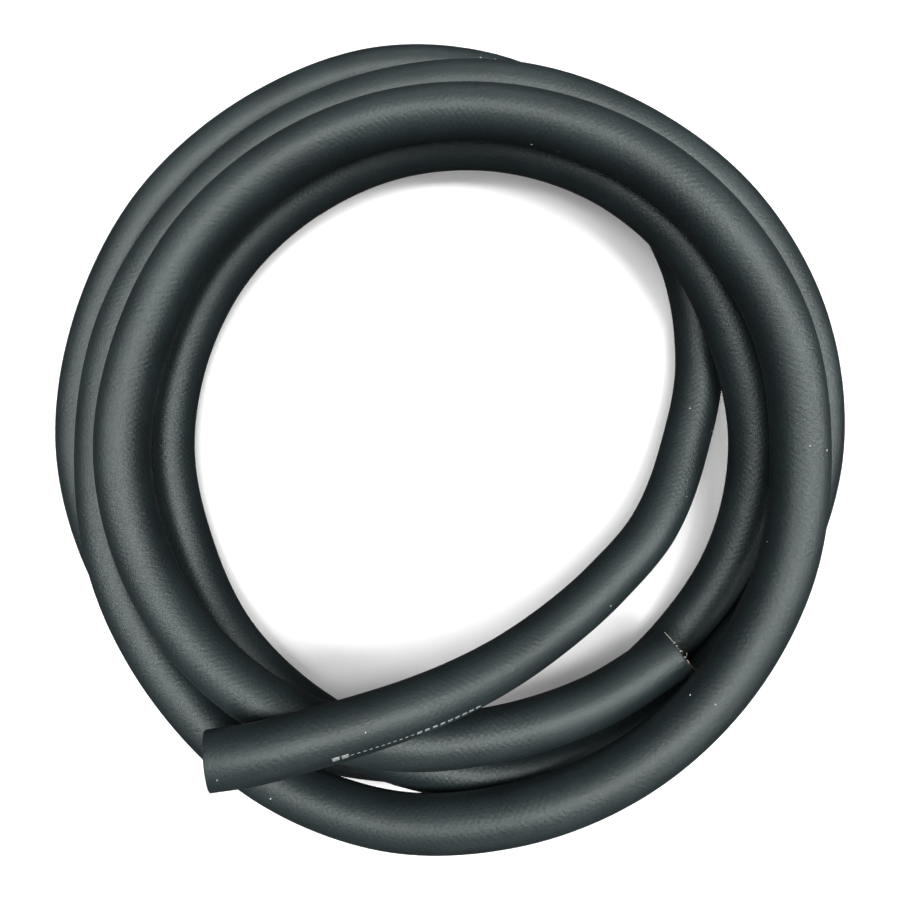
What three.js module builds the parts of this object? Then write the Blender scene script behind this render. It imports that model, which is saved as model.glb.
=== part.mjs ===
// Fuel hose: one length of rubber hose with a round bore, cut by hand a little askew at both ends. It
// lies in a loose coil of a little over four turns, each turn beside or on top of the last.
// Millimetres, +Z up, with the origin on the floor at the middle of the coil's footprint.
import * as THREE from "three";

// Driving dimensions
const HOSE_OD = 21;
const HOSE_BORE = 13;
const COIL_RADIUS = 147;

// The way each cut faces, the one on top of the pile and the one inside the coil
const TOP_CUT_FACES = new THREE.Vector3(-0.924, -0.14, 0.355).normalize();
const INNER_CUT_FACES = new THREE.Vector3(0.81, 0.584, 0.045).normalize();

// Facets of the outside, the bore and each turn of the coil
const HOSE_SIDES = 14;
const BORE_SIDES = 12;
const STEPS_PER_TURN = 34;

// The hose's centre line, from the end on top of the pile to the end inside the coil. Each row is the
// angle round the coil in degrees, how far outside COIL_RADIUS the centre line lies there, and how high
// it lies above the floor. The last two are in hose diameters, so that turns that touch still touch
// when the hose is made thicker or thinner.
const LAY = [
  [232, 0.0, 3.38],
  [240, -0.9, 3.38],
  [260, -2.05, 2.85],
  [280, -2.5, 2.2],
  [300, -2.65, 1.65],
  [320, -2.55, 1.3],
  [340, -2.15, 1.0],
  [360, -1.65, 0.65],
  [380, -0.85, 0.5],
  [400, 0.0, 0.5],
  [420, 0.8, 0.5],
  [440, 1.5, 0.55],
  [460, 1.8, 0.6],
  [480, 1.85, 0.5],
  [500, 1.8, 0.5],
  [520, 1.65, 0.5],
  [540, 1.5, 0.55],
  [560, 1.25, 0.5],
  [580, 0.9, 0.5],
  [600, 0.6, 0.5],
  [620, 0.25, 0.5],
  [640, 0.0, 0.5],
  [660, -0.15, 0.5],
  [680, -0.26, 0.62],
  [700, -0.3, 0.95],
  [720, -0.4, 1.3],
  [740, -0.5, 1.5],
  [760, -0.35, 1.5],
  [780, -0.2, 1.25],
  [800, -0.15, 1.0],
  [820, -0.15, 0.75],
  [840, -0.25, 0.6],
  [860, -0.35, 0.55],
  [880, -0.45, 0.5],
  [900, -0.55, 0.6],
  [920, -0.6, 0.6],
  [940, -0.55, 0.9],
  [960, -0.45, 1.1],
  [980, -0.3, 1.4],
  [1000, -0.05, 1.55],
  [1020, 0.22, 1.48],
  [1040, 0.54, 1.24],
  [1060, 0.83, 0.99],
  [1080, 0.95, 1.25],
  [1100, 1.0, 1.4],
  [1120, 0.9, 1.55],
  [1140, 0.8, 1.55],
  [1160, 0.85, 1.4],
  [1180, 0.85, 1.2],
  [1200, 0.85, 1.05],
  [1220, 0.8, 1.0],
  [1240, 0.75, 1.05],
  [1260, 0.65, 1.15],
  [1280, 0.65, 1.35],
  [1300, 0.65, 1.55],
  [1320, 0.7, 1.8],
  [1340, 0.5, 2.2],
  [1360, 0.15, 2.55],
  [1380, 0.05, 2.55],
  [1400, 0.05, 2.4],
  [1420, 0.0, 2.35],
  [1440, -0.15, 2.4],
  [1460, -0.2, 2.55],
  [1480, -0.25, 2.55],
  [1500, -0.15, 2.3],
  [1520, -0.1, 2.05],
  [1540, -0.1, 1.9],
  [1560, -0.15, 1.85],
  [1580, -0.2, 1.85],
  [1600, -0.3, 1.9],
  [1620, -0.3, 1.95],
  [1640, -0.4, 2.0],
  [1660, -0.6, 2.15],
  [1680, -0.85, 2.3],
  [1700, -1.1, 2.25],
  [1720, -1.2, 2.1],
  [1740, -1.0, 1.85],
  [1758.5, -0.6, 1.6],
];

// The centre line as one smooth curve through those points.
function centreLine() {
  const points = LAY.map(([turn, outward, level]) => {
    const angle = THREE.MathUtils.degToRad(turn);
    const radius = COIL_RADIUS + outward * HOSE_OD;
    return new THREE.Vector3(radius * Math.cos(angle), radius * Math.sin(angle), level * HOSE_OD);
  });
  const line = new THREE.CatmullRomCurve3(points, false, "catmullrom", 0.5);
  line.arcLengthDivisions = 20 * LAY.length;
  return line;
}

// The corners of a round of the given diameter.
function round(diameter, sides) {
  return Array.from({ length: sides }, (_, corner) => {
    const angle = (2 * Math.PI * corner) / sides;
    return new THREE.Vector2((diameter / 2) * Math.cos(angle), (diameter / 2) * Math.sin(angle));
  });
}

// Slides the corners of one end along the hose until they all lie in the plane of its cut. They are the
// corners of its flat face, which start at firstCorner, and those of the wall that share their places.
function cutEnd(geometry, firstCorner, end, along, facing) {
  const corners = geometry.attributes.position;
  const place = (k) => [corners.getX(k), corners.getY(k), corners.getZ(k)].join();
  const onEnd = new Set();
  for (let k = firstCorner; k < firstCorner + flatFaceCorners(geometry); k++) {
    onEnd.add(place(k));
  }
  const corner = new THREE.Vector3();
  for (let k = 0; k < corners.count; k++) {
    if (onEnd.has(place(k))) {
      corner.fromBufferAttribute(corners, k).sub(end);
      corner.addScaledVector(along, -corner.dot(facing) / along.dot(facing)).add(end);
      corners.setXYZ(k, corner.x, corner.y, corner.z);
    }
  }
}

// The corners of one end's flat face. Both ends' faces make up the geometry's first group.
function flatFaceCorners(geometry) {
  return geometry.groups[0].count / 2;
}

// The hose wall, carried along the centre line and cut at both ends.
function hoseGeometry() {
  const wall = new THREE.Shape(round(HOSE_OD, HOSE_SIDES));
  wall.holes.push(new THREE.Path(round(HOSE_BORE, BORE_SIDES)));
  const turns = (LAY[LAY.length - 1][0] - LAY[0][0]) / 360;
  const line = centreLine();
  const geometry = new THREE.ExtrudeGeometry(wall, {
    steps: Math.round(turns * STEPS_PER_TURN),
    extrudePath: line,
    bevelEnabled: false,
  });
  cutEnd(geometry, 0, line.getPointAt(0), line.getTangentAt(0), TOP_CUT_FACES);
  const innerFace = flatFaceCorners(geometry);
  cutEnd(geometry, innerFace, line.getPointAt(1), line.getTangentAt(1), INNER_CUT_FACES);
  return geometry;
}

const rubber = new THREE.MeshStandardMaterial({ color: 0x2b302f, roughness: 0.55, metalness: 0 });

const hose = new THREE.Mesh(hoseGeometry(), rubber);
hose.name = "hose";

// The coil stands on the floor, with its footprint centred on the origin.
hose.geometry.computeBoundingBox();
const { min, max } = hose.geometry.boundingBox;
hose.position.set(-(min.x + max.x) / 2, -(min.y + max.y) / 2, -min.z);

const fuelHose = new THREE.Group();
fuelHose.add(hose);

export default fuelHose;
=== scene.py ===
"""Fuel hose: one length of black rubber hose with a textile braid under its cover, lying in a loose coil.

Metres, +Z up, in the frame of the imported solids. The sizes and colours that a user would change are in
the property groups. Each operator makes one piece, or one group of like pieces, and the panel lists them.
"""

import math
import random

import bpy
from mathutils import Matrix, Vector


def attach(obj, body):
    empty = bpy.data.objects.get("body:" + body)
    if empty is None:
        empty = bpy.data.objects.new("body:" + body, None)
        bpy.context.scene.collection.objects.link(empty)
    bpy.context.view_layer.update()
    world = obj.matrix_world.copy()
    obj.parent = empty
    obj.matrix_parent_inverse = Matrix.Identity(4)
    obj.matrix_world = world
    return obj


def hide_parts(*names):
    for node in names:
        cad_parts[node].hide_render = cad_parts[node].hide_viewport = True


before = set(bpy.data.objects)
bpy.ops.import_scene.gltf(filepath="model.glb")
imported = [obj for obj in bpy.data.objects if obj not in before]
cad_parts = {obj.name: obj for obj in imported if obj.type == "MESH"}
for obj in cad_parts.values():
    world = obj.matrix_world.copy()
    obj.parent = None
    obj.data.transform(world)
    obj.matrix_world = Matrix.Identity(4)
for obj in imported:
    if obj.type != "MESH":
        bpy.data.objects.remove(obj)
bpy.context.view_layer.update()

bl_info = {
    "name": "Fuel Hose",
    "version": (1, 0, 0),
    "blender": (4, 5, 0),
    "location": "3D View > Sidebar > Fuel Hose",
    "description": "Models a coiled rubber fuel hose and the studio it is shown in",
    "category": "Object",
}

BODY = "root"
HOSE_NODE = "hose"
MM = 0.001

# The hose's centre line, from the end on top of the pile to the end inside the coil: the angle round the
# coil in degrees, how far outside the coil's radius it lies, and how high above the floor. The last two
# are in hose diameters.
LAY = (
    (232, 0.0, 3.38), (240, -0.9, 3.38), (260, -2.05, 2.85), (280, -2.5, 2.2), (300, -2.65, 1.65),
    (320, -2.55, 1.3), (340, -2.15, 1.0), (360, -1.65, 0.65), (380, -0.85, 0.5), (400, 0.0, 0.5),
    (420, 0.8, 0.5), (440, 1.5, 0.55), (460, 1.8, 0.6), (480, 1.85, 0.5), (500, 1.8, 0.5),
    (520, 1.65, 0.5), (540, 1.5, 0.55), (560, 1.25, 0.5), (580, 0.9, 0.5), (600, 0.6, 0.5),
    (620, 0.25, 0.5), (640, 0.0, 0.5), (660, -0.15, 0.5), (680, -0.26, 0.62), (700, -0.3, 0.95),
    (720, -0.4, 1.3), (740, -0.5, 1.5), (760, -0.35, 1.5), (780, -0.2, 1.25), (800, -0.15, 1.0),
    (820, -0.15, 0.75), (840, -0.25, 0.6), (860, -0.35, 0.55), (880, -0.45, 0.5), (900, -0.55, 0.6),
    (920, -0.6, 0.6), (940, -0.55, 0.9), (960, -0.45, 1.1), (980, -0.3, 1.4), (1000, -0.05, 1.55),
    (1020, 0.22, 1.48), (1040, 0.54, 1.24), (1060, 0.83, 0.99), (1080, 0.95, 1.25), (1100, 1.0, 1.4),
    (1120, 0.9, 1.55), (1140, 0.8, 1.55), (1160, 0.85, 1.4), (1180, 0.85, 1.2), (1200, 0.85, 1.05),
    (1220, 0.8, 1.0), (1240, 0.75, 1.05), (1260, 0.65, 1.15), (1280, 0.65, 1.35), (1300, 0.65, 1.55),
    (1320, 0.7, 1.8), (1340, 0.5, 2.2), (1360, 0.15, 2.55), (1380, 0.05, 2.55), (1400, 0.05, 2.4),
    (1420, 0.0, 2.35), (1440, -0.15, 2.4), (1460, -0.2, 2.55), (1480, -0.25, 2.55), (1500, -0.15, 2.3),
    (1520, -0.1, 2.05), (1540, -0.1, 1.9), (1560, -0.15, 1.85), (1580, -0.2, 1.85), (1600, -0.3, 1.9),
    (1620, -0.3, 1.95), (1640, -0.4, 2.0), (1660, -0.6, 2.15), (1680, -0.85, 2.3), (1700, -1.1, 2.25),
    (1720, -1.2, 2.1), (1740, -1.0, 1.85), (1758.5, -0.6, 1.6),
)


class FuelHoseSizes(bpy.types.PropertyGroup):
    outside_diameter: bpy.props.FloatProperty(
        name="Outside diameter", description="Width of the hose over its cover",
        default=0.021, min=0.005, max=0.1, precision=4, unit="LENGTH",
    )
    bore: bpy.props.FloatProperty(
        name="Bore", description="Width of the hole through the hose",
        default=0.013, min=0.002, max=0.09, precision=4, unit="LENGTH",
    )
    coil_radius: bpy.props.FloatProperty(
        name="Coil radius", description="Radius that the turns of the coil lie around",
        default=0.147, min=0.05, max=1.0, precision=4, unit="LENGTH",
    )
    braid_pitch: bpy.props.FloatProperty(
        name="Braid pitch", description="Distance along the hose from one yarn to the next",
        default=0.0029, min=0.0005, max=0.02, precision=4, unit="LENGTH",
    )
    braid_yarns: bpy.props.IntProperty(
        name="Braid yarns", description="Yarns that wind round the hose each way",
        default=20, min=4, max=48,
    )


class FuelHoseColours(bpy.types.PropertyGroup):
    cover: bpy.props.FloatVectorProperty(
        name="Cover", description="Colour of the rubber cover",
        default=(0.0085, 0.0135, 0.0150), size=3, min=0.0, max=1.0, subtype="COLOR",
    )
    bloom: bpy.props.FloatVectorProperty(
        name="Bloom", description="Colour of the cover where it has a faint grey bloom",
        default=(0.015, 0.0235, 0.025), size=3, min=0.0, max=1.0, subtype="COLOR",
    )
    shine: bpy.props.FloatVectorProperty(
        name="Shine", description="Tint of the light that the cover reflects",
        default=(0.918, 1.0, 0.972), size=3, min=0.0, max=1.0, subtype="COLOR",
    )
    yarn: bpy.props.FloatVectorProperty(
        name="Yarn", description="Colour of the braid's cut yarns",
        default=(0.66, 0.61, 0.52), size=3, min=0.0, max=1.0, subtype="COLOR",
    )
    tracer: bpy.props.FloatVectorProperty(
        name="Tracer yarn", description="Colour of the few reddish yarns in the braid",
        default=(0.32, 0.12, 0.08), size=3, min=0.0, max=1.0, subtype="COLOR",
    )
    marking: bpy.props.FloatVectorProperty(
        name="Marking", description="Colour of the printed dashes",
        default=(0.30, 0.33, 0.33), size=3, min=0.0, max=1.0, subtype="COLOR",
    )


class FuelHoseStudio(bpy.types.PropertyGroup):
    camera_height: bpy.props.FloatProperty(
        name="Camera height", description="Height of the lens above the floor",
        default=0.26523, min=0.05, max=5.0, precision=4, unit="LENGTH",
    )
    lens: bpy.props.FloatProperty(
        name="Lens", description="Focal length of the lens in millimetres",
        default=20.86, min=8.0, max=200.0,
    )
    floor_radius: bpy.props.FloatProperty(
        name="Floor radius", description="Distance from the coil to the pale backdrop round it",
        default=2.0, min=0.5, max=50.0, unit="LENGTH",
    )
    light_share: bpy.props.FloatProperty(
        name="Light", description="Share of their stated power that all the lights have",
        default=1.26, min=0.0, max=10.0, subtype="FACTOR",
    )
    light_distance: bpy.props.FloatProperty(
        name="Light distance", description="Distance of every light from the middle of the floor",
        default=1.4, min=0.3, max=20.0, unit="LENGTH",
    )
    light_width: bpy.props.FloatProperty(
        name="Light width", description="Width of every round light",
        default=0.35, min=0.01, max=5.0, unit="LENGTH",
    )
    floor_glow: bpy.props.FloatProperty(
        name="Floor glow", description="Light that the paper lets through from below",
        default=0.15, min=0.0, max=1.0,
    )
    backdrop_glow: bpy.props.FloatProperty(
        name="Backdrop glow", description="Brightness of the pale backdrop",
        default=0.85, min=0.0, max=1.0,
    )


# The studio's round lights: height above the horizon and bearing in degrees, and power in watts
LIGHTS = (
    (80, 0, 4.6), (80, 90, 3.0), (80, 180, 1.6), (66, 0, 1.1), (66, 45, 3.0), (66, 180, 3.3),
    (66, 315, 1.3), (50, 0, 4.6), (50, 135, 1.25), (50, 180, 2.3), (50, 225, 0.85), (50, 315, 1.0),
    (32, 0, 2.1), (32, 45, 1.2), (32, 90, 1.3), (32, 135, 0.4), (32, 180, 0.3), (32, 225, 0.4),
    (32, 270, 0.6), (32, 315, 0.9),
)
SKY = 0.05
WHITE = (1.0, 1.0, 1.0, 1.0)

# Where the camera stands, straight above the coil's own middle, and what it is made of
CAMERA_STANDS = (0.005786, -0.013957)
SENSOR_WIDTH = 36
NEAREST_SEEN = 0.01

# The way each cut faces, the one on top of the pile and the one inside the coil
TOP_CUT_FACES = Vector((-0.924, -0.14, 0.355)).normalized()
INNER_CUT_FACES = Vector((0.81, 0.584, 0.045)).normalized()

# The skin of the hose: corners of a ring, steps between rings, the rounding of a cut's edges, and how far
# from a cut its rings still lean with it
HOSE_SIDES = 36
WALL_STEP = 0.003
BORE_STEP = 0.008
PATH_STEP = 0.008
LIP = 0.0007
LIP_STEPS = 3
LEAN_REACH = 0.02

# How much fuller the cover is than the solid, so that turns that touch show no slit between them
FULLER = 0.00013

# The braid's ring in a cut, as shares of the wall from the bore, and how deep it is cut in
BRAID_FROM = 0.42
BRAID_TO = 0.62
BRAID_SUNK = 0.0002

# How deep the cover's finish goes: the braid's imprint, the grain and the slow ripple
BRAID_IMPRINT = 0.00002
GRAIN_DEPTH = 0.0002
RIPPLE_DEPTH = 0.00008

# One cut yarn: its sides and width, the length in the wall and the length that stands out, and what is
# left of its width at the tip, with the tip's rim and rise as shares of its width and length
YARN_SIDES = 8
YARN_WIDTH = 0.0010
YARN_ROOT = 0.0012
YARN_TIP = 0.0005
YARN_TAPER = 0.78
YARN_RIM = 0.12
YARN_RISE = 0.3
YARN_SEED = 11

# How far the yarns of each end have drawn back into the wall, from the least to the most
TOP_YARNS_SUNK = (0.0004, 0.0007)
INNER_YARNS_SUNK = (0.0, 0.00035)

# Loose fibres at the end inside the coil: how many, how thick, and their shortest and longest
FIBRES = 7
FIBRE_WIDTH = 0.0002
FIBRE_LENGTHS = (0.0012, 0.0034)
FIBRE_KNOTS = 7
FIBRE_SEED = 4

# The picture that the dashes and the lint are placed by: its side, and the pixels where they are seen
PICTURE = 900
PRINT_BEGINS = (334, 760)
PRINT_TURNS_BOLD = (413, 735)
PRINT_ENDS = (479, 707)
LINT_SEEN_AT = (
    (533, 145), (557, 151), (478, 57), (493, 59), (690, 408), (712, 431), (687, 496), (810, 444),
    (827, 449), (767, 542), (738, 599), (611, 606), (367, 732), (714, 706), (689, 696), (218, 780),
    (271, 799),
)
LINT_WIDTH = 0.0009
LINT_SHAPE = (1.0, 0.6, 0.3)
LINT_RAGGED = 0.12
LINT_SEED = 23

# Printed dashes: length, gap and width of the opening blocks, of the fine dashes and of the bold ones
PRINT_BLOCKS = (0.0027, 0.0006, 0.0021)
PRINT_BLOCK_COUNT = 2
PRINT_FINE = (0.0012, 0.0010, 0.0005)
PRINT_BOLD = (0.0021, 0.0009, 0.0014)
PRINT_THICK = 0.00005


def lay_points(sizes):
    """The points that the coil's centre line runs through, about the coil's own middle."""
    points = []
    for turn, outward, level in LAY:
        angle = math.radians(turn)
        radius = sizes.coil_radius + outward * sizes.outside_diameter
        height = level * sizes.outside_diameter
        points.append(Vector((radius * math.cos(angle), radius * math.sin(angle), height)))
    return points


def smooth_line(points, steps=24):
    """A smooth curve through the points, as closely spaced points."""
    before = points[0] * 2 - points[1]
    after = points[-1] * 2 - points[-2]
    ring = [before, *points, after]
    line = []
    for k in range(1, len(ring) - 2):
        p0, p1, p2, p3 = ring[k - 1:k + 3]
        for step in range(steps):
            t = step / steps
            line.append(0.5 * (
                2 * p1 + (p2 - p0) * t + (2 * p0 - 5 * p1 + 4 * p2 - p3) * t ** 2
                + (3 * p1 - p0 - 3 * p2 + p3) * t ** 3
            ))
    line.append(points[-1].copy())
    return line


class Route:
    """The hose's centre line in the frame of the solids, which can be asked for any place along it."""

    def __init__(self, sizes):
        self.radius = sizes.outside_diameter / 2
        self.cover = self.radius + FULLER
        line = smooth_line(lay_points(sizes))
        self.line = line
        self.reach = [0.0]
        for a, b in zip(line, line[1:]):
            self.reach.append(self.reach[-1] + (b - a).length)
        self.length = self.reach[-1]
        self.carry_frames()
        self.settle()

    def carry_frames(self):
        """An across direction at every point that turns with the hose and never twists round it."""
        line = self.line
        self.along = []
        for k in range(len(line)):
            a = line[max(k - 1, 0)]
            b = line[min(k + 1, len(line) - 1)]
            self.along.append((b - a).normalized())
        across = self.along[0].cross(Vector((0, 0, 1))).normalized()
        self.across = [across]
        for a, b in zip(self.along, self.along[1:]):
            turned = a.rotation_difference(b) @ self.across[-1]
            turned -= turned.dot(b) * b
            self.across.append(turned.normalized())

    def settle(self):
        """Moves the line so that the hose stands on the floor with its footprint centred."""
        low = Vector((math.inf,) * 3)
        high = Vector((-math.inf,) * 3)
        for point, along in zip(self.line, self.along):
            for axis in range(3):
                spread = self.radius * math.sqrt(max(0.0, 1 - along[axis] ** 2))
                low[axis] = min(low[axis], point[axis] - spread)
                high[axis] = max(high[axis], point[axis] + spread)
        shift = Vector((-(low.x + high.x) / 2, -(low.y + high.y) / 2, -low.z))
        self.line = [point + shift for point in self.line]

    def at(self, distance):
        """Point, along and across directions at a distance from the top end."""
        distance = min(max(distance, 0.0), self.length)
        low, high = 0, len(self.reach) - 1
        while high - low > 1:
            middle = (low + high) // 2
            if self.reach[middle] <= distance:
                low = middle
            else:
                high = middle
        t = (distance - self.reach[low]) / (self.reach[high] - self.reach[low])
        point = self.line[low].lerp(self.line[high], t)
        along = self.along[low].lerp(self.along[high], t).normalized()
        across = self.across[low].lerp(self.across[high], t)
        across = (across - across.dot(along) * along).normalized()
        return point, along, across

    def upright(self, distance):
        """Point, along, up and outward directions at a distance from the top end."""
        point, along, _ = self.at(distance)
        up = Vector((0, 0, 1))
        up = (up - up.dot(along) * along).normalized()
        return point, along, up, along.cross(up).normalized()

    def skin(self, distance, turn):
        """Point on the cover and the way it faces, at an angle in degrees from straight up towards the
        outside of the coil."""
        point, along, up, outward = self.upright(distance)
        angle = math.radians(turn)
        facing = up * math.cos(angle) + outward * math.sin(angle)
        return point + facing * self.cover, facing, along

    def nearest(self, place):
        """Distance along the hose, and angle round it, of a place on its cover."""
        nearest = min(range(len(self.line)), key=lambda k: (self.line[k] - place).length_squared)
        distance = self.reach[nearest]
        point, _, up, outward = self.upright(distance)
        arm = place - point
        return distance, math.degrees(math.atan2(arm.dot(outward), arm.dot(up)))


def settings():
    """The sizes, the colours and the studio that are set now."""
    scene = bpy.context.scene
    return scene.fuel_hose_sizes, scene.fuel_hose_colours, scene.fuel_hose_studio


def nothing_selected():
    """Leaves edit mode with nothing selected."""
    if bpy.context.mode != "OBJECT":
        bpy.ops.object.mode_set(mode="OBJECT")
    bpy.ops.object.select_all(action="DESELECT")


def only(piece):
    """Selects one piece alone and makes it active."""
    nothing_selected()
    piece.select_set(True)
    bpy.context.view_layer.objects.active = piece


def settle_piece(piece):
    """Puts a piece's place, turn and size into its mesh."""
    only(piece)
    bpy.ops.object.transform_apply(location=True, rotation=True, scale=True)


def joined(parts, name):
    """Several parts as one piece with its place in its mesh."""
    nothing_selected()
    for part in parts:
        part.select_set(True)
    bpy.context.view_layer.objects.active = parts[0]
    if len(parts) > 1:
        bpy.ops.object.join()
    piece = bpy.context.view_layer.objects.active
    piece.name = name
    piece.data.name = name
    settle_piece(piece)
    return piece


def apply_all(piece):
    """Applies a piece's modifiers in their order."""
    only(piece)
    for modifier in list(piece.modifiers):
        bpy.ops.object.modifier_apply(modifier=modifier.name)


def pick_faces(piece, wanted):
    """Goes into edit mode with only the wanted faces selected."""
    only(piece)
    bpy.ops.object.mode_set(mode="EDIT")
    bpy.ops.mesh.select_mode(type="FACE")
    bpy.ops.mesh.select_all(action="DESELECT")
    bpy.ops.object.mode_set(mode="OBJECT")
    for face in piece.data.polygons:
        face.select = wanted(face)
    bpy.ops.object.mode_set(mode="EDIT")


def copy_at(model, place, facing, spin, size=1.0):
    """A copy of a model with its own mesh, its +Z turned to face a way."""
    copy = model.copy()
    copy.data = model.data.copy()
    bpy.context.scene.collection.objects.link(copy)
    turned = facing.to_track_quat("Z", "Y").to_matrix().to_4x4()
    copy.matrix_world = (
        Matrix.Translation(place) @ turned @ Matrix.Rotation(spin, 4, "Z") @ Matrix.Scale(size, 4)
    )
    return copy


def wear(piece, material):
    """Gives a piece one material all over."""
    piece.data.materials.clear()
    piece.data.materials.append(material)


class Recipe:
    """A material's nodes, laid one after another."""

    def __init__(self, name):
        self.material = bpy.data.materials.new(name)
        self.material.use_nodes = True
        self.tree = self.material.node_tree
        self.shader = self.tree.nodes["Principled BSDF"]

    def node(self, kind, **facts):
        made = self.tree.nodes.new(kind)
        for name, value in facts.items():
            setattr(made, name, value)
        return made

    def feed(self, socket, value):
        if isinstance(value, bpy.types.NodeSocket):
            self.tree.links.new(value, socket)
        else:
            socket.default_value = value

    def maths(self, operation, *values):
        made = self.node("ShaderNodeMath", operation=operation)
        for socket, value in zip(made.inputs, values):
            self.feed(socket, value)
        return made.outputs[0]

    def noise(self, where, scale, detail=4.0, roughness=0.55):
        made = self.node("ShaderNodeTexNoise")
        self.feed(made.inputs["Vector"], where)
        made.inputs["Scale"].default_value = scale
        made.inputs["Detail"].default_value = detail
        made.inputs["Roughness"].default_value = roughness
        return made.outputs["Fac"]

    def spread(self, value, low, high, to_low=0.0, to_high=1.0):
        made = self.node("ShaderNodeMapRange")
        for name, amount in (
            ("Value", value), ("From Min", low), ("From Max", high), ("To Min", to_low), ("To Max", to_high),
        ):
            self.feed(made.inputs[name], amount)
        return made.outputs["Result"]

    def blend(self, share, first, second):
        made = self.node("ShaderNodeMix", data_type="RGBA")
        self.feed(made.inputs[0], share)
        for socket, value in ((made.inputs[6], first), (made.inputs[7], second)):
            if isinstance(value, bpy.types.NodeSocket):
                self.feed(socket, value)
            else:
                socket.default_value = (*value, 1.0)
        return made.outputs[2]

    def bump(self, height, depth, strength=1.0, under=None):
        made = self.node("ShaderNodeBump")
        made.inputs["Strength"].default_value = strength
        made.inputs["Distance"].default_value = depth
        self.feed(made.inputs["Height"], height)
        if under is not None:
            self.feed(made.inputs["Normal"], under)
        return made.outputs["Normal"]

    def object_place(self):
        return self.node("ShaderNodeTexCoord").outputs["Object"]

    def set(self, **facts):
        for name, value in facts.items():
            self.feed(self.shader.inputs[name.replace("_", " ")], value)


def cover_material(sizes, colours):
    """Satin rubber cover, with the braid showing faintly through it."""
    recipe = Recipe("satin_rubber_cover")
    place = recipe.object_place()
    round_hose = recipe.node("ShaderNodeUVMap", uv_map="round_hose").outputs["UV"]
    parts = recipe.node("ShaderNodeSeparateXYZ")
    recipe.feed(parts.inputs[0], round_hose)
    along, turn = parts.outputs["X"], parts.outputs["Y"]

    lengthways = recipe.maths("MULTIPLY", along, 2 * math.pi / sizes.braid_pitch)
    sideways = recipe.maths("MULTIPLY", turn, 2 * math.pi * sizes.braid_yarns)
    left_hand = recipe.maths("SINE", recipe.maths("ADD", lengthways, sideways))
    right_hand = recipe.maths("SINE", recipe.maths("SUBTRACT", lengthways, sideways))
    weave = recipe.maths("ADD", left_hand, right_hand)
    patchy = recipe.spread(recipe.noise(place, 22.0, 3.0), 0.36, 0.62, 0.3, 1.0)
    worn = recipe.spread(recipe.noise(place, 420.0, 3.0, 0.6), 0.35, 0.65, 0.3, 1.0)
    braid = recipe.maths("MULTIPLY", recipe.maths("MULTIPLY", weave, patchy), worn)

    grain = recipe.noise(place, 850.0, 4.0, 0.7)
    ripple = recipe.noise(place, 160.0, 3.0, 0.5)
    fine = recipe.bump(grain, GRAIN_DEPTH)
    broad = recipe.bump(ripple, RIPPLE_DEPTH, 0.5, fine)
    normal = recipe.bump(braid, BRAID_IMPRINT, 1.0, broad)

    cloudy = recipe.spread(recipe.noise(place, 30.0, 5.0, 0.6), 0.35, 0.7)
    colour = recipe.blend(cloudy, tuple(colours.cover), tuple(colours.bloom))
    speckle = recipe.noise(place, 900.0, 3.0, 0.7)
    roughness = recipe.spread(speckle, 0.3, 0.7, 0.34, 0.48)
    recipe.set(Base_Color=colour, Roughness=roughness, Normal=normal)
    recipe.set(Specular_IOR_Level=0.52, Specular_Tint=(*colours.shine, 1.0))
    return recipe.material


def cut_material(colours):
    """The matt face that a knife leaves across the wall, and the inside of the bore."""
    recipe = Recipe("cut_rubber")
    place = recipe.object_place()
    grain = recipe.noise(place, 900.0, 6.0, 0.7)
    colour = recipe.blend(recipe.spread(grain, 0.35, 0.7), tuple(colours.cover), tuple(colours.bloom))
    normal = recipe.bump(grain, 0.0001, 0.6)
    recipe.set(Base_Color=colour, Roughness=0.75, Normal=normal)
    recipe.set(Specular_IOR_Level=0.35)
    return recipe.material


def yarn_material(colours):
    """Twisted textile yarn, cream with darker fibres and a few reddish yarns in it."""
    recipe = Recipe("braid_yarn")
    place = recipe.object_place()
    fibres = recipe.noise(place, 3500.0, 3.0, 0.7)
    tint = recipe.noise(place, 500.0, 2.0)
    dark = tuple(part * 0.35 for part in colours.yarn)
    cream = recipe.blend(recipe.spread(tint, 0.4, 0.65), tuple(colours.yarn), dark)
    reddish = recipe.spread(recipe.noise(place, 260.0, 1.0), 0.55, 0.6)
    colour = recipe.blend(reddish, cream, tuple(colours.tracer))
    normal = recipe.bump(fibres, 0.00008, 0.8)
    recipe.set(Base_Color=colour, Roughness=0.85, Normal=normal)
    recipe.set(Sheen_Weight=0.3)
    return recipe.material


def marking_material(colours):
    """White print, thin and a little worn, that lets the rubber's grain through."""
    recipe = Recipe("worn_print")
    place = recipe.object_place()
    worn = recipe.noise(place, 1800.0, 4.0, 0.7)
    dark = tuple(part * 0.25 for part in colours.marking)
    colour = recipe.blend(recipe.spread(worn, 0.45, 0.6), tuple(colours.marking), dark)
    normal = recipe.bump(worn, 0.00003, 0.5)
    recipe.set(Base_Color=colour, Roughness=0.6, Normal=normal)
    return recipe.material


def dust_material():
    """Pale lint."""
    recipe = Recipe("pale_lint")
    place = recipe.object_place()
    fluff = recipe.noise(place, 4000.0, 3.0, 0.7)
    colour = recipe.blend(recipe.spread(fluff, 0.35, 0.65), (0.7, 0.72, 0.72), (0.3, 0.32, 0.33))
    normal = recipe.bump(fluff, 0.00008, 0.8)
    recipe.set(Base_Color=colour, Roughness=0.9, Normal=normal)
    return recipe.material


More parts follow.
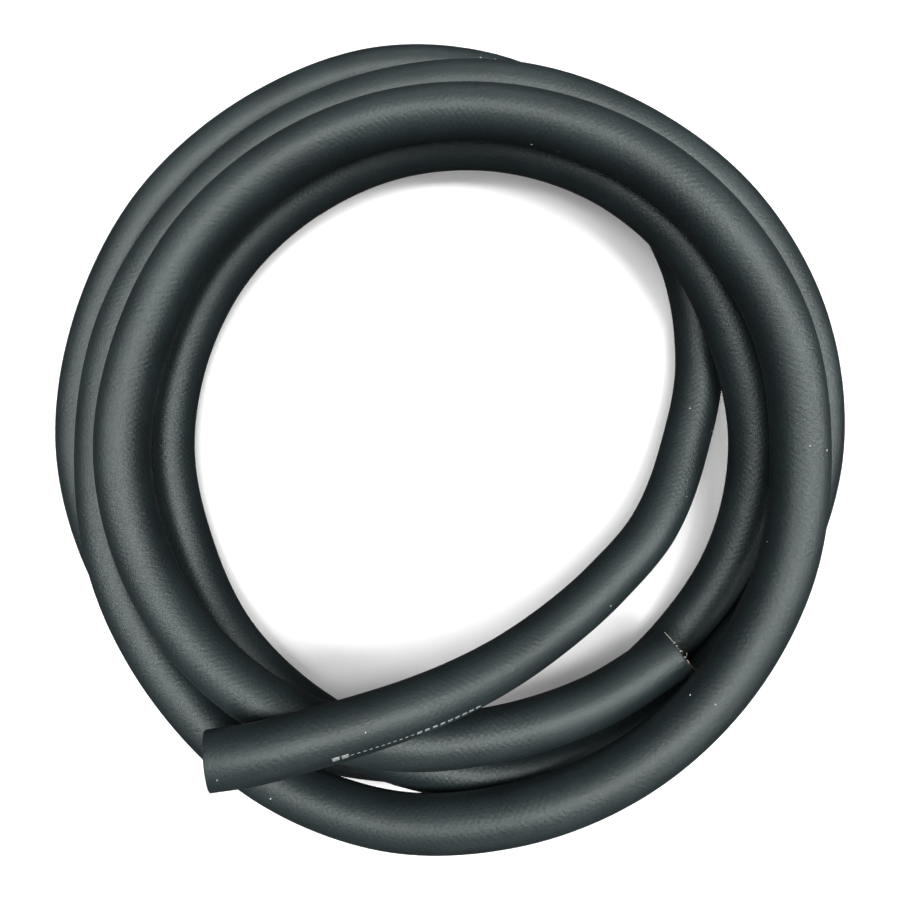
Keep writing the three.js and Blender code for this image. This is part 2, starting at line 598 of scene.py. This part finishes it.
def paper_material(glow):
    """White paper that lets some light through."""
    recipe = Recipe("white_paper")
    place = recipe.object_place()
    fibre = recipe.noise(place, 400.0, 4.0)
    colour = recipe.blend(recipe.spread(fibre, 0.3, 0.7), (0.86, 0.86, 0.86), (0.88, 0.88, 0.88))
    recipe.set(Base_Color=colour, Roughness=1.0)
    recipe.set(Specular_IOR_Level=0.0)
    recipe.set(Emission_Color=WHITE, Emission_Strength=glow)
    return recipe.material


def end_profile(route, sizes):
    """The cut end's rings from the cover to the bore, each a radius and how far it lies behind the cut."""
    outer = route.cover
    bore = sizes.bore / 2
    wall = outer - bore
    rings = []
    for step in range(LIP_STEPS + 1):
        angle = math.pi / 2 * step / LIP_STEPS
        rings.append((outer - LIP * (1 - math.cos(angle)), LIP * (1 - math.sin(angle))))
    braid_out = bore + BRAID_TO * wall
    braid_in = bore + BRAID_FROM * wall
    rings.append((braid_out, 0.0))
    rings.append((braid_out - BRAID_SUNK, BRAID_SUNK))
    rings.append((braid_in + BRAID_SUNK, BRAID_SUNK))
    rings.append((braid_in, 0.0))
    for step in range(LIP_STEPS + 1):
        angle = math.pi / 2 * step / LIP_STEPS
        rings.append((bore + LIP * (1 - math.sin(angle)), LIP * (1 - math.cos(angle))))
    return rings


def ring_of(route, distance, radius):
    """A ring of points round the centre line."""
    point, along, across = route.at(distance)
    side = along.cross(across)
    return [
        point + radius * (math.cos(angle) * across + math.sin(angle) * side)
        for angle in (2 * math.pi * corner / HOSE_SIDES for corner in range(HOSE_SIDES))
    ]


def leaning(route, corner, distance):
    """A corner slid along the hose as the cut beside it leans, less and less away from the cut."""
    for end, facing in ((0.0, TOP_CUT_FACES), (route.length, INNER_CUT_FACES)):
        away = abs(distance - end)
        if away < LEAN_REACH:
            centre, along, _ = route.at(end)
            from_axis = corner - centre
            from_axis -= from_axis.dot(along) * along
            slide = -from_axis.dot(facing) / along.dot(facing)
            return corner + along * slide * (1 - away / LEAN_REACH) ** 2
    return corner


def steps_between(low, high, step):
    """Evenly spaced values from low to high, about a step apart."""
    count = max(2, round((high - low) / step))
    return [low + (high - low) * k / count for k in range(count + 1)]


def hose_mesh(route, sizes):
    """The whole wall as one closed skin of rings: the cover, one cut end, the bore and the other cut end."""
    profile = end_profile(route, sizes)
    rings = []
    for distance in steps_between(LIP, route.length - LIP, WALL_STEP):
        rings.append((distance, route.cover, 0))
    for radius, behind in profile[1:-1]:
        rings.append((route.length - behind, radius, 1))
    for distance in reversed(steps_between(LIP, route.length - LIP, BORE_STEP)):
        rings.append((distance, sizes.bore / 2, 1))
    for radius, behind in reversed(profile[1:-1]):
        rings.append((behind, radius, 1))
    points = []
    for distance, radius, _ in rings:
        points += [leaning(route, corner, distance) for corner in ring_of(route, distance, radius)]
    faces = []
    kinds = []
    places = []
    count = len(rings)
    for k in range(count):
        far = (k + 1) % count
        kind = max(rings[k][2], rings[far][2])
        for corner in range(HOSE_SIDES):
            beside = (corner + 1) % HOSE_SIDES
            faces.append((
                k * HOSE_SIDES + corner, k * HOSE_SIDES + beside,
                far * HOSE_SIDES + beside, far * HOSE_SIDES + corner,
            ))
            kinds.append(kind)
            near_turn, far_turn = corner / HOSE_SIDES, (corner + 1) / HOSE_SIDES
            places += [
                rings[k][0], near_turn, rings[k][0], far_turn,
                rings[far][0], far_turn, rings[far][0], near_turn,
            ]
    mesh = bpy.data.meshes.new("fuel_hose")
    mesh.from_pydata(points, [], faces)
    layer = mesh.uv_layers.new(name="round_hose")
    layer.uv.foreach_set("vector", places)
    mesh.polygons.foreach_set("material_index", kinds)
    mesh.polygons.foreach_set("use_smooth", [True] * len(faces))
    mesh.update()
    return mesh


def the_route():
    """The centre line for the sizes that are set now."""
    return Route(settings()[0])


def seen_on_hose(route, pixel):
    """Distance along the hose, and angle round it, of what the camera sees at a pixel of the picture."""
    camera = bpy.context.scene.camera
    hose = bpy.data.objects["fuel_hose"]
    focal = PICTURE * camera.data.lens / camera.data.sensor_width
    across, down = pixel
    way = Vector((across - PICTURE / 2, PICTURE / 2 - down, -focal)).normalized()
    hit, place, _, _ = hose.ray_cast(camera.location, way)
    if not hit:
        raise RuntimeError(f"no hose is seen at pixel {pixel}")
    return route.nearest(place)


def yarn_stub():
    """One cut yarn standing along +Z, its fibres drawn in a little at the tip."""
    nothing_selected()
    bpy.ops.mesh.primitive_cylinder_add(
        vertices=YARN_SIDES, radius=YARN_WIDTH / 2, depth=YARN_ROOT, location=(0, 0, -YARN_ROOT / 2),
    )
    stub = bpy.context.active_object
    settle_piece(stub)
    pick_faces(stub, lambda face: face.normal.z > 0.9)
    bpy.ops.mesh.extrude_region_move(TRANSFORM_OT_translate={"value": (0, 0, YARN_TIP)})
    bpy.ops.transform.resize(value=(YARN_TAPER, YARN_TAPER, 1.0))
    bpy.ops.mesh.inset(thickness=YARN_WIDTH * YARN_RIM)
    bpy.ops.transform.translate(value=(0, 0, YARN_TIP * YARN_RISE))
    bpy.ops.object.mode_set(mode="OBJECT")
    bpy.ops.object.shade_smooth()
    return stub


def cut_place(route, at_top, radius, angle):
    """A place on an end's cut face, and the way out of the hose there."""
    centre, along, across = route.at(0.0 if at_top else route.length)
    facing = TOP_CUT_FACES if at_top else INNER_CUT_FACES
    arm = radius * (math.cos(angle) * across + math.sin(angle) * along.cross(across))
    place = centre + arm - along * (arm.dot(facing) / along.dot(facing))
    return place, -along if at_top else along


def yarn_ring(route, sizes, at_top, sunk, name):
    """The braid's cut yarns, all round one end."""
    chance = random.Random(YARN_SEED + at_top)
    wall = (sizes.outside_diameter - sizes.bore) / 2
    middle = sizes.bore / 2 + wall * (BRAID_FROM + BRAID_TO) / 2
    stub = yarn_stub()
    count = 2 * sizes.braid_yarns
    yarns = []
    for k in range(count):
        angle = 2 * math.pi * (k + chance.uniform(-0.25, 0.25)) / count
        place, outward = cut_place(route, at_top, middle + chance.uniform(-0.18, 0.18) * MM, angle)
        lean = Vector([chance.uniform(-0.3, 0.3) for _ in range(3)])
        yarns.append(copy_at(
            stub, place - outward * chance.uniform(*sunk), (outward + lean).normalized(),
            chance.uniform(0, math.tau), chance.uniform(0.75, 1.15),
        ))
    bpy.data.objects.remove(stub)
    return joined(yarns, name)


def loose_fibre(start, outward, up, length, chance):
    """One fibre that has come out of the braid and curls over the edge of the cut."""
    curve = bpy.data.curves.new("loose_fibre", "CURVE")
    curve.dimensions = "3D"
    curve.resolution_u = 3
    curve.bevel_depth = FIBRE_WIDTH / 2
    curve.bevel_resolution = 1
    curve.use_fill_caps = True
    spline = curve.splines.new("NURBS")
    spline.points.add(FIBRE_KNOTS - 1)
    spline.use_endpoint_u = True
    side = outward.cross(up).normalized() * chance.choice((-1, 1))
    bend = side * chance.uniform(0.15, 0.5) + up * chance.uniform(-0.25, 0.1)
    place = start - outward * YARN_TIP
    way = (outward + 0.3 * up).normalized()
    for knot in spline.points:
        knot.co = (*place, 1.0)
        place = place + way * length / (FIBRE_KNOTS - 1)
        way = (way + bend).normalized()
    fibre = bpy.data.objects.new("loose_fibre", curve)
    bpy.context.scene.collection.objects.link(fibre)
    only(fibre)
    bpy.ops.object.convert(target="MESH")
    bpy.ops.object.shade_smooth()
    return bpy.context.active_object


def print_layout(route):
    """Each printed dash's place along the hose, its angle round it, its length and its width."""
    begins, turns_bold, ends = (
        seen_on_hose(route, pixel) for pixel in (PRINT_BEGINS, PRINT_TURNS_BOLD, PRINT_ENDS)
    )
    last_block = begins[0] + (PRINT_BLOCK_COUNT - 0.5) * (PRINT_BLOCKS[0] + PRINT_BLOCKS[1])
    distance = begins[0]
    while distance < ends[0]:
        bold = distance >= turns_bold[0]
        first, last = (turns_bold, ends) if bold else (begins, turns_bold)
        length, gap, width = PRINT_BOLD if bold else PRINT_FINE
        if distance < last_block:
            length, gap, width = PRINT_BLOCKS
        share = (distance - first[0]) / (last[0] - first[0])
        yield distance + length / 2, first[1] + (last[1] - first[1]) * share, length, width
        distance += length + gap


def printed_dash(hose, route, distance, turn, length, width):
    """One printed dash, a thin film wrapped onto the cover."""
    place, facing, along = route.skin(distance, turn)
    nothing_selected()
    bpy.ops.mesh.primitive_grid_add(x_subdivisions=4, y_subdivisions=3, size=1.0)
    dash = bpy.context.active_object
    side = facing.cross(along)
    stand = Matrix((along * length, side * width, facing)).transposed().to_4x4()
    dash.matrix_world = Matrix.Translation(place + facing * PRINT_THICK) @ stand
    settle_piece(dash)
    wrap = dash.modifiers.new("wrap", "SHRINKWRAP")
    wrap.target = hose
    wrap.wrap_method = "NEAREST_SURFACEPOINT"
    wrap.wrap_mode = "ABOVE_SURFACE"
    wrap.offset = PRINT_THICK
    film = dash.modifiers.new("film", "SOLIDIFY")
    film.thickness = PRINT_THICK
    film.offset = 0.0
    apply_all(dash)
    bpy.ops.object.shade_smooth()
    return dash


def lint_fleck():
    """One scrap of lint, flat and ragged."""
    nothing_selected()
    bpy.ops.mesh.primitive_ico_sphere_add(subdivisions=2, radius=LINT_WIDTH / 2)
    fleck = bpy.context.active_object
    bpy.ops.object.mode_set(mode="EDIT")
    bpy.ops.mesh.select_all(action="SELECT")
    bpy.ops.transform.resize(value=LINT_SHAPE)
    bpy.ops.transform.vertex_random(offset=LINT_WIDTH * LINT_RAGGED, seed=LINT_SEED)
    bpy.ops.object.mode_set(mode="OBJECT")
    bpy.ops.object.shade_smooth()
    return fleck


class FUELHOSE_OT_camera(bpy.types.Operator):
    """Place the camera straight above the coil"""

    bl_idname = "fuel_hose.camera"
    bl_label = "Camera"

    def execute(self, context):
        studio = settings()[2]
        data = bpy.data.cameras.new("overhead")
        data.lens = studio.lens
        data.sensor_width = SENSOR_WIDTH
        data.clip_start = NEAREST_SEEN
        camera = bpy.data.objects.new("overhead", data)
        camera.location = (*CAMERA_STANDS, studio.camera_height)
        context.scene.collection.objects.link(camera)
        context.scene.camera = camera
        return {"FINISHED"}


class FUELHOSE_OT_hose(bpy.types.Operator):
    """Model the hose, with its cover, bore and two cut ends"""

    bl_idname = "fuel_hose.hose"
    bl_label = "Hose"

    def execute(self, context):
        sizes, colours, _ = settings()
        hose = bpy.data.objects.new("fuel_hose", hose_mesh(the_route(), sizes))
        context.scene.collection.objects.link(hose)
        hose.data.materials.append(cover_material(sizes, colours))
        hose.data.materials.append(cut_material(colours))
        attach(hose, BODY)
        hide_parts(HOSE_NODE)
        return {"FINISHED"}


class FUELHOSE_OT_yarns(bpy.types.Operator):
    """Set the braid's cut yarns into both ends"""

    bl_idname = "fuel_hose.yarns"
    bl_label = "Cut yarns"

    def execute(self, context):
        sizes, colours, _ = settings()
        route = the_route()
        material = yarn_material(colours)
        for at_top, sunk, name in (
            (True, TOP_YARNS_SUNK, "top_end_yarns"), (False, INNER_YARNS_SUNK, "inner_end_yarns"),
        ):
            ring = yarn_ring(route, sizes, at_top, sunk, name)
            wear(ring, material)
            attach(ring, BODY)
        return {"FINISHED"}


class FUELHOSE_OT_fibres(bpy.types.Operator):
    """Draw the loose fibres out of the end inside the coil"""

    bl_idname = "fuel_hose.fibres"
    bl_label = "Loose fibres"

    def execute(self, context):
        sizes, colours, _ = settings()
        route = the_route()
        chance = random.Random(FIBRE_SEED)
        wall = (sizes.outside_diameter - sizes.bore) / 2
        radius = sizes.bore / 2 + wall * BRAID_TO
        _, along, across = route.at(route.length)
        up = Vector((0, 0, 1))
        top = math.atan2(up.dot(along.cross(across)), up.dot(across))
        fibres = []
        for k in range(FIBRES):
            angle = top + math.pi * ((k + 0.5) / FIBRES - 0.5) + chance.uniform(-0.1, 0.1)
            start, outward = cut_place(route, False, radius, angle)
            length = chance.uniform(*FIBRE_LENGTHS)
            fibres.append(loose_fibre(start, outward, up, length, chance))
        fringe = joined(fibres, "loose_fibres")
        wear(fringe, yarn_material(colours))
        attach(fringe, BODY)
        return {"FINISHED"}


class FUELHOSE_OT_print(bpy.types.Operator):
    """Print the row of plain dashes along the hose near its top end"""

    bl_idname = "fuel_hose.print"
    bl_label = "Printed dashes"

    def execute(self, context):
        colours = settings()[1]
        hose = bpy.data.objects["fuel_hose"]
        route = the_route()
        dashes = [printed_dash(hose, route, *layout) for layout in print_layout(route)]
        print_row = joined(dashes, "printed_dashes")
        wear(print_row, marking_material(colours))
        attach(print_row, BODY)
        return {"FINISHED"}


class FUELHOSE_OT_lint(bpy.types.Operator):
    """Scatter the few scraps of pale lint that lie on the cover"""

    bl_idname = "fuel_hose.lint"
    bl_label = "Lint"

    def execute(self, context):
        route = the_route()
        chance = random.Random(LINT_SEED)
        model = lint_fleck()
        flecks = []
        for pixel in LINT_SEEN_AT:
            distance, turn = seen_on_hose(route, pixel)
            place, facing, _ = route.skin(distance, turn)
            flecks.append(copy_at(
                model, place, facing, chance.uniform(0, math.tau), chance.uniform(0.6, 1.1),
            ))
        bpy.data.objects.remove(model)
        lint = joined(flecks, "lint_flecks")
        wear(lint, dust_material())
        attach(lint, BODY)
        return {"FINISHED"}


class FUELHOSE_OT_declare(bpy.types.Operator):
    """Step along the hose's centre line at an even spacing, keeping nothing"""

    bl_idname = "fuel_hose.declare"
    bl_label = "Length"

    def execute(self, context):
        route = the_route()
        path = [route.at(distance)[0] for distance in steps_between(0, route.length, PATH_STEP)]
        tuple(path[0])
        [tuple(point) for point in path]
        return {"FINISHED"}


class FUELHOSE_OT_studio(bpy.types.Operator):
    """Lay the white floor and hang the soft lights"""

    bl_idname = "fuel_hose.studio"
    bl_label = "Studio"

    def execute(self, context):
        studio = settings()[2]
        nothing_selected()
        bpy.ops.mesh.primitive_plane_add(size=2 * studio.floor_radius, location=(0, 0, 0))
        floor = context.active_object
        floor.name = "paper_floor"
        wear(floor, paper_material(studio.floor_glow))
        nothing_selected()
        bpy.ops.mesh.primitive_uv_sphere_add(segments=64, ring_count=32, radius=studio.floor_radius)
        backdrop = context.active_object
        backdrop.name = "pale_backdrop"
        bpy.ops.object.shade_smooth()
        wear(backdrop, paper_material(studio.backdrop_glow))
        backdrop.visible_shadow = False
        for paper in (floor, backdrop):
            paper.visible_diffuse = False
            paper.visible_glossy = False
        world = bpy.data.worlds.new("studio")
        world.use_nodes = True
        world.node_tree.nodes["Background"].inputs["Color"].default_value = WHITE
        world.node_tree.nodes["Background"].inputs["Strength"].default_value = SKY
        context.scene.world = world
        context.scene.view_settings.view_transform = "Standard"
        for height, bearing, power in LIGHTS:
            data = bpy.data.lights.new(f"light_{height}_{bearing}", "AREA")
            data.shape = "DISK"
            data.size = studio.light_width
            data.energy = power * studio.light_share
            lamp = bpy.data.objects.new(data.name, data)
            rise, round_about = math.radians(height), math.radians(bearing)
            flat = math.cos(rise)
            lamp.location = studio.light_distance * Vector((
                flat * math.cos(round_about), flat * math.sin(round_about), math.sin(rise),
            ))
            lamp.rotation_euler = (-lamp.location).to_track_quat("-Z", "Y").to_euler()
            context.scene.collection.objects.link(lamp)
        return {"FINISHED"}


class FUELHOSE_PT_sidebar(bpy.types.Panel):
    """Lists the sizes, the colours and the operators"""

    bl_idname = "FUELHOSE_PT_sidebar"
    bl_label = "Fuel Hose"
    bl_space_type = "VIEW_3D"
    bl_region_type = "UI"
    bl_category = "Fuel Hose"

    def draw(self, context):
        column = self.layout.column(align=True)
        for group in settings():
            for name in group.bl_rna.properties.keys():
                if name not in ("rna_type", "name"):
                    column.prop(group, name)
            column.separator()
        for operator in OPERATORS:
            column.operator(operator.bl_idname)


GROUPS = (
    ("fuel_hose_sizes", FuelHoseSizes),
    ("fuel_hose_colours", FuelHoseColours),
    ("fuel_hose_studio", FuelHoseStudio),
)
OPERATORS = (
    FUELHOSE_OT_camera,
    FUELHOSE_OT_hose,
    FUELHOSE_OT_yarns,
    FUELHOSE_OT_fibres,
    FUELHOSE_OT_print,
    FUELHOSE_OT_lint,
    FUELHOSE_OT_declare,
    FUELHOSE_OT_studio,
)


def register():
    for name, group in GROUPS:
        bpy.utils.register_class(group)
        setattr(bpy.types.Scene, name, bpy.props.PointerProperty(type=group))
    for operator in OPERATORS:
        bpy.utils.register_class(operator)
    bpy.utils.register_class(FUELHOSE_PT_sidebar)


def unregister():
    bpy.utils.unregister_class(FUELHOSE_PT_sidebar)
    for operator in reversed(OPERATORS):
        bpy.utils.unregister_class(operator)
    for name, group in reversed(GROUPS):
        delattr(bpy.types.Scene, name)
        bpy.utils.unregister_class(group)


def main():
    register()
    bpy.ops.fuel_hose.camera()
    bpy.ops.fuel_hose.hose()
    bpy.ops.fuel_hose.yarns()
    bpy.ops.fuel_hose.fibres()
    bpy.ops.fuel_hose.print()
    bpy.ops.fuel_hose.lint()
    bpy.ops.fuel_hose.declare()
    bpy.ops.fuel_hose.studio()


if __name__ == "__main__":
    main()
